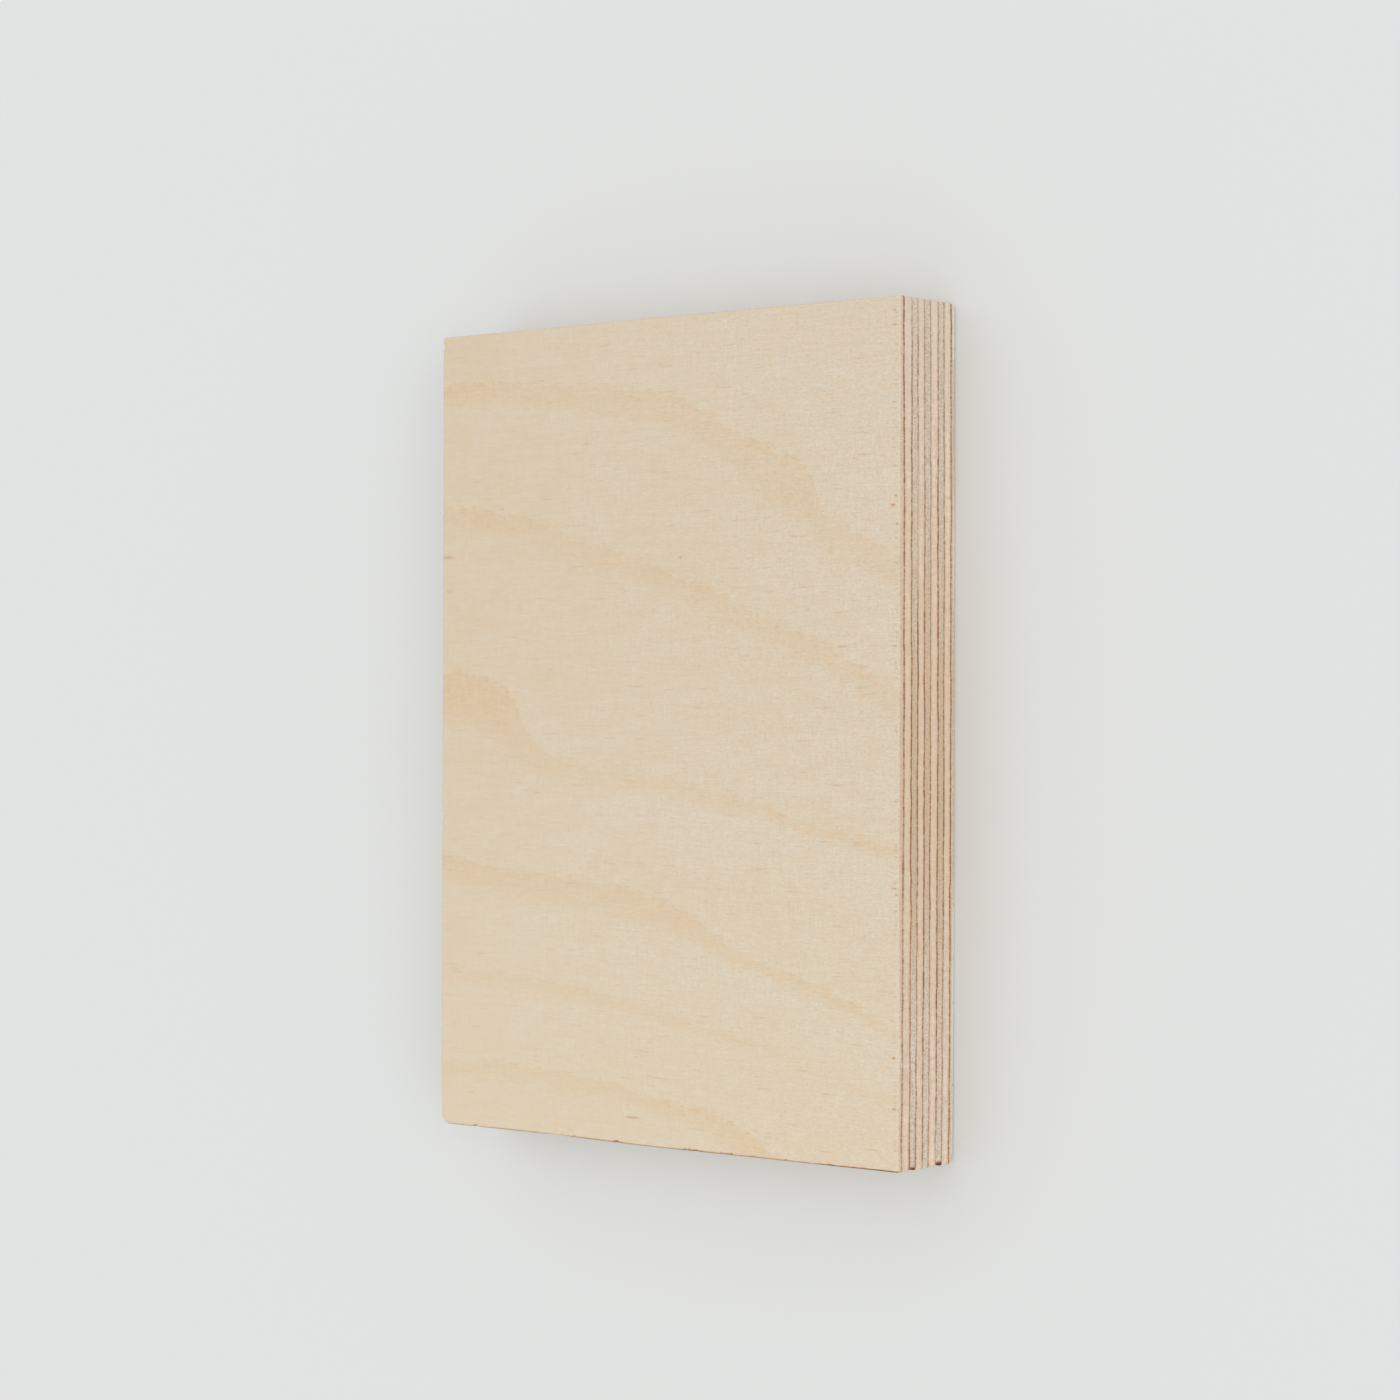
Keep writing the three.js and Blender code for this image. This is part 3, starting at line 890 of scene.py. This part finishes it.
def arris_brown_and_shadow(nodes, place, start, end):
    """How far the -Y end's arris is browned and painted with shadow, from where it has turned that way by
    start.
    """
    x, y, _ = nodes.parts(place)
    faces = nodes.facing((0.0, 1.0, 0.0))
    turned = faces + 0.06 * nodes.noise(place, (1.2, 9.0, 9.0), 95.0)
    turned = (turned + 0.15 * nodes.step(x, 22.0, 35.0)) * nodes.step(y, -51.5, -52.0)
    shows = nodes.drawn(x, HALF[0] / MM, ARRIS_BROWN_AND_SHADOW_SHOWS, 0.0, 1.0)
    return nodes.step(turned, start, end) * shows * (1.0 - 0.6 * nodes.step(faces, 0.95, 1.0))


def broad_colour(nodes, place, shift):
    """Sanded birch with its grain along X: fibres, fine marks across them, and soft clouds."""
    x, y, _ = nodes.parts(place)
    fibres = nodes.noise(place, (2.0, 0.26, 0.6), shift + 21.0)
    specks = nodes.noise(place, (0.46, 0.22, 0.6), shift + 22.0)
    hairs = nodes.noise(place, (5.0, 0.22, 0.6), shift + 26.0)
    ticks = nodes.noise(place, (0.32, 2.2, 3.4), shift + 23.0)
    hues = nodes.noise(place, (0.7, 0.35, 0.6), shift + 28.0)
    strands = nodes.noise(place, (9.0, 0.9, 0.9), shift + 24.0)
    clouds = nodes.noise(place, (17.0, 11.0, 9.0), shift + 25.0)
    patches = nodes.noise(place, (5.0, 4.0, 4.0), shift + 27.0)
    busy = 1.0 + 0.011 * x
    weave = nodes.noise(place, (0.5, 2.2, 3.0), shift + 29.0, 0.0)
    warmth = 0.085 * fibres + 0.06 * strands + 0.07 * clouds + 0.055 * patches + 0.07 * weave
    rings, paler = growth_rings(nodes, place, shift)
    warmth += x * (0.005 + 0.00005 * y) + 0.17 * paler
    colour = nodes.blend(0.5 + warmth, FACE_WARM, FACE_COOL)
    colour = nodes.blend(rings, colour, RING_TAN)
    crossing = ticks * nodes.step(patches, -1.6, 1.4)
    fine = 0.035 * fibres + 0.02 * strands + busy * (0.075 * hairs + 0.105 * crossing)
    colour = nodes.blend(0.16 - fine, colour, FACE_DEEP)
    colour = nodes.blend(0.18 - (0.13 + 0.003 * x) * specks, colour, FACE_DULL)
    # Painted light: the face grows paler towards -Y.
    colour = nodes.blend(0.06 + y * (0.000015 * y - 0.00145), colour, FACE_PAINTED_LIGHT)
    colour = nodes.blend(0.3 + 0.14 * busy * hues, colour, FACE_ROSY)
    crowded_here = nodes.step(patches, -0.8, 1.6)
    dark = nodes.flecks(place, (1.9, 0.7), (0.6, 0.1), 0.5, shift + 4.0) * crowded_here
    rare = nodes.flecks(place, (5.2, 3.1), (1.2, 0.12), 0.5, shift + 9.0)
    pale = nodes.flecks(place, (2.3, 0.8), (0.8, 0.13), 0.35, shift + 14.0)
    ringed = nodes.flecks(place, (1.3, 0.5), (0.6, 0.12), 0.6, shift + 18.0)
    colour = nodes.blend(busy * (0.2 * dark + 0.28 * rare), colour, PORE_BROWN)
    colour = nodes.blend(0.5 * rings * ringed, colour, RING_FLECK)
    return nodes.blend(busy * (0.22 * pale), colour, FLECK_PALE), fibres + specks, dark + rare


def tanned(nodes, place):
    """How much the middle of the two long edges has browned, from 0 to 1."""
    _, y, _ = nodes.parts(place)
    patch = nodes.noise(place, (9.0, 9.0, 1.6), 4.0)
    return nodes.step(abs(y + 5.0) - 4.0 * patch, 35.0, 8.0)


def end_colour(nodes, place, shift, rubbed_and_lit=0.0):
    """Sawn ends of fibres: grey, speckled and a little layered, and paler where sanded, which partly
    stands for painted light.
    """
    speckle = nodes.noise(place, (0.26, 0.26, 0.24), shift + 1.0)
    layers = nodes.noise(place, (5.0, 5.0, 0.3), shift + 2.0)
    kerf = nodes.noise(place, (0.34, 0.34, 4.0), 2.0)
    patch = nodes.noise(place, (9.0, 9.0, 1.6), shift + 3.0)
    _, y, _ = nodes.parts(place)
    colour = nodes.blend(tanned(nodes, place), END_GREY, END_TAN)
    colour = nodes.blend(rubbed_and_lit, colour, END_SANDED)
    # Paler towards the -Y end.
    colour = nodes.blend(0.3 * nodes.step(y, -20.0, -38.0), colour, END_WORN_AND_LIT)
    dark = 0.3 + (0.34 - 0.2 * rubbed_and_lit) * speckle + 0.1 * layers + 0.09 * kerf + 0.05 * patch
    return nodes.blend(dark, colour, END_DARK), speckle


def side_colour(nodes, place, grain, shift, paler=0.0):
    """Wood sawn along its grain: pale, with fine streaks."""
    streaks = nodes.noise(place, [6.0 if along else 0.45 for along in grain], shift + 4.0)
    threads = nodes.noise(place, [0.7 if along else 0.25 for along in grain], shift + 5.0)
    patches = nodes.noise(place, (3.5, 3.5, 1.3), shift + 6.0)
    kerf = nodes.noise(place, (0.34, 0.34, 4.0), 2.0)
    tone = 0.5 + paler + 0.1 * streaks + 0.22 * threads + 0.06 * patches + 0.13 * kerf
    colour = nodes.blend(tone, SIDE_DEEP, SIDE_PALE)
    colour = nodes.blend(0.5 * tanned(nodes, place), colour, SIDE_TAN)
    _, y, _ = nodes.parts(place)
    return nodes.blend(0.4 * nodes.step(y, 34.0, 48.0), colour, END_GREY), threads


def torn_and_shaded(nodes, place, length, depth):
    """How dark the wood is round the sliver that broke out of a veneer's +X -Y corner: painted shade in
    the notch, and the torn fibres' own brown.
    """
    x, y, _ = nodes.parts(place)
    gap_x, gap_y = HALF[0] / MM - x, y + HALF[1] / MM
    notch = depth / MM
    browned = nodes.step(gap_y, notch + 0.35, notch + 0.05)
    return 0.9 * nodes.step(gap_x, length / MM, 0.5) * browned


def glued(nodes, place, colour, distance, line, stained, stain_reach=0.55, width=0.2):
    """Draws the glue line at one side of a veneer, and the stain that it left in the wood."""
    _, y, _ = nodes.parts(place)
    gap = nodes.attribute(distance)
    beads = nodes.noise(place, (0.75, 0.75, 30.0), 50.0 + line)
    specks = nodes.noise(place, (0.3, 0.3, 30.0), 60.0 + line)
    waves = nodes.noise(place, (4.5, 4.5, 30.0), 70.0 + line)
    frayed = 0.012 + 0.014 * GLUE_DULLED[line]
    reach = gap - 0.014 * beads - frayed * specks - 0.008 * waves
    stained = stained * (1.0 - 0.5 * nodes.step(y, 24.0, 44.0))
    stained = stained * nodes.step(gap - 0.05 * beads, stain_reach, 0.1)
    colour = nodes.blend(stained, colour, GLUE_STAIN)
    dulled = nodes.step(waves + 0.5 * beads + 3.0 * GLUE_DULLED[line], 1.0, 3.2)
    glue = nodes.blend(dulled, GLUE_RED, GLUE_DULL)
    shows = nodes.drawn(y, HALF[1] / MM, GLUE_SHOWS[line], 0.0, 2.0)
    broken = 0.07 + 0.06 * GLUE_DULLED[line]
    spots = 0.84 + 0.09 * beads + broken * specks + 0.04 * waves
    return nodes.blend(nodes.step(reach, width, 0.07) * shows * spots, colour, glue)


def paint_inner(ply, level):
    """The paint of an inner veneer. Only its sawn edge can be seen."""
    grain = (*grain_of(ply), 0.0)

    def paint(nodes):
        place = nodes.place()
        end = nodes.step(nodes.facing(grain), 0.45, 0.95)
        sawn_end, pits = end_colour(nodes, place, 10.0 * level)
        paler = PALER_PLIES.get(ply, 0.0)
        sawn_side, threads = side_colour(nodes, place, grain, 10.0 * level, paler)
        colour = nodes.blend(end, sawn_side, sawn_end)
        stained = 0.7 - 0.5 * end
        # Painted shade, and the torn fibres' brown, round a broken-out notch.
        if ply in BREAK_OUTS:
            colour = nodes.blend(torn_and_shaded(nodes, place, *BREAK_OUTS[ply]), colour, TORN_AND_SHADE_BROWN)
        colour = glued(nodes, place, colour, "glue_below", level - 1, stained)
        colour = glued(nodes, place, colour, "glue_above", level, 0.75 * stained)
        height = 0.5 + 0.2 * (end * pits + (1.0 - end) * threads)
        return colour, 0.72 + 0.1 * end, height, 0.02 * MM

    return paint


def paint_outer(level):
    """The paint of the face or the back veneer, with its broad side and its sawn edge."""
    is_face = level > 0
    shift = 0.0 if is_face else 300.0

    def paint(nodes):
        place = nodes.place()
        figure = place if is_face else nodes.vector("MULTIPLY", place, (-1, -1, 1))
        colour, grain, pores = broad_colour(nodes, figure, shift)
        colour = nodes.blend(0.34 * fibre_ends(nodes, place), colour, PIN_ORANGE)
        if is_face:
            # Small marks; the two on the -Y arris are painted shadow.
            colour = nodes.blend(small_marks(nodes, place, FACE_MARKS), colour, MARK_AND_SHADOW_BROWN)
            colour = nodes.blend(small_marks(nodes, place, TORN_FIBRES), colour, PIN_ORANGE)
            # The -Y end's arris: an orange rim of the wood's own colour, then painted shadow under the
            # edge.
            colour = nodes.blend(0.8 * arris_brown_and_shadow(nodes, place, 0.2, 0.5), colour, PIN_ORANGE)
            colour = nodes.blend(arris_brown_and_shadow(nodes, place, 0.5, 0.7), colour, BROWN_AND_SHADOW)
        end = nodes.step(nodes.facing((1.0, 0.0, 0.0)), 0.6, 1.0)
        sawn_end, pits = end_colour(nodes, place, shift + 30.0, 0.7 if is_face else 0.8)
        if not is_face:
            x, y, z = nodes.parts(place)
            # Painted light: the lower part of the back's +X edge made paler where the floor shades it.
            rubbed_and_lit = nodes.step(x, 0.0, 1.0) * nodes.step(z, 0.8, 0.35)
            rubbed_and_lit = rubbed_and_lit * nodes.drawn(y, HALF[1] / MM, BACK_PAINTED_LIGHT, 0.0, 1.0)
            sawn_end = nodes.blend(rubbed_and_lit, sawn_end, END_WORN_AND_LIT)
        colour = nodes.blend(end, colour, sawn_end)
        if is_face:
            _, y, _ = nodes.parts(place)
            stained = nodes.drawn(y, HALF[1] / MM, FACE_STAIN, 0.0, 1.0)
            colour = glued(nodes, place, colour, "glue_below", level - 1, stained, 0.8, 0.25)
        else:
            colour = glued(nodes, place, colour, "glue_above", level, 0.4)
        height = 0.5 + 0.12 * grain - 0.5 * pores + 0.15 * end * pits
        return colour, 0.56 + 0.22 * end, height, 0.008 * MM

    return paint


def paint_glue_film(nodes):
    """The glued side of a veneer, where cured resin covers the wood."""
    place = nodes.place()
    smears = nodes.noise(place, (6.0, 6.0, 6.0), 1.0, 3.0)
    fibres = nodes.noise(place, (4.0, 0.4, 1.0), 2.0)
    share = nodes.step(smears + 0.4 * fibres, -1.2, 1.6)
    colour = nodes.blend(share, GLUE_FILM, GLUE_FILM_THIN)
    return colour, 0.45 + 0.1 * share, smears, 0.01 * MM


# ------------------------------------------------------------------ the pieces

SLOTS = {"face_veneer": "birch_face", "back_veneer": "birch_back"}
glue_film = wood_surface("glue_film", paint_glue_film)

for level, ply in enumerate(PLIES):
    outer = ply in SLOTS
    paint = paint_outer(level) if outer else paint_inner(ply, level)
    finishes = [wood_surface(ply + "_finish", paint), glue_film]
    piece = (outer_veneer if outer else inner_veneer)(ply, level, finishes)
    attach(piece, "root")
    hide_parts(ply)

# ------------------------------------------------------------------ floor, light and camera

STUDIO_GREY = tint(226, 228, 227)
FLOOR_HALF = 8.0
AMBIENT = 0.82

# Lamps: the way that the light comes from, its strength, and how wide the lamp looks.
LAMPS = {
    "key": ((0.78, 0.0, 0.63), 0.62, 40.0),
    "fill": ((-0.4, 0.4, 0.82), 0.2, 70.0),
}

CAMERA_LENS = 88.27
CAMERA_SENSOR = 36.0
CAMERA_AT = Vector((277.61, 2.545, 345.13)) * MM
CAMERA_AHEAD = Vector((-0.63047, 0.00348, -0.77620))
CAMERA_UP = Vector((0.00018, 0.99999, 0.00434))


def studio_floor():
    """A wide pale floor under the sheet."""
    mesh = bpy.data.meshes.new("studio_floor")
    corners = [(x * FLOOR_HALF, y * FLOOR_HALF, 0) for x, y in ((-1, -1), (1, -1), (1, 1), (-1, 1))]
    mesh.from_pydata(corners, [], [(0, 1, 2, 3)])
    material = bpy.data.materials.new("studio_floor")
    material.use_nodes = True
    nodes = Nodes(material.node_tree)
    shader = nodes.add("ShaderNodeBsdfDiffuse", None, {"Color": STUDIO_GREY})
    nodes.add("ShaderNodeOutputMaterial", None, {"Surface": shader})
    mesh.materials.append(material)
    floor = bpy.data.objects.new("studio_floor", mesh)
    bpy.context.scene.collection.objects.link(floor)


def studio_air():
    """Even light from all round, behind which the camera sees the floor's own grey."""
    world = bpy.data.worlds.new("studio")
    world.use_nodes = True
    nodes = Nodes(world.node_tree)
    rays = ("Is Camera Ray", "Is Glossy Ray", "Is Transmission Ray")
    camera_ray, glossy_ray, through_ray = nodes.add("ShaderNodeLightPath", None, None, rays)
    seen = camera_ray + glossy_ray + through_ray
    light = nodes.add("ShaderNodeBackground", None, {"Color": (1, 1, 1, 1), "Strength": AMBIENT})
    backdrop = nodes.add("ShaderNodeBackground", None, {"Color": STUDIO_GREY, "Strength": 1.0})
    shown = nodes.add("ShaderNodeMixShader", None, {0: seen, 1: light, 2: backdrop})
    nodes.add("ShaderNodeOutputWorld", None, {"Surface": shown})
    bpy.context.scene.world = world


def lamp(name, comes_from, strength, width):
    light = bpy.data.lights.new(name, "SUN")
    light.energy = strength
    light.angle = math.radians(width)
    made = bpy.data.objects.new(name, light)
    made.rotation_euler = Vector(comes_from).to_track_quat("Z", "Y").to_euler()
    bpy.context.scene.collection.objects.link(made)


def camera():
    """Looks down on the face and the +X edge, with +Y up the picture."""
    lens = bpy.data.cameras.new("camera")
    lens.sensor_width = CAMERA_SENSOR
    lens.lens = CAMERA_LENS
    made = bpy.data.objects.new("camera", lens)
    back = -CAMERA_AHEAD.normalized()
    right = CAMERA_UP.cross(back).normalized()
    turned = Matrix((right, back.cross(right), back)).transposed().to_4x4()
    made.matrix_world = Matrix.Translation(CAMERA_AT) @ turned
    bpy.context.scene.collection.objects.link(made)
    bpy.context.scene.camera = made


studio_floor()
studio_air()
for name, (comes_from, strength, width) in LAMPS.items():
    lamp(name, comes_from, strength, width)
camera()
bpy.context.scene.view_settings.view_transform = "Standard"
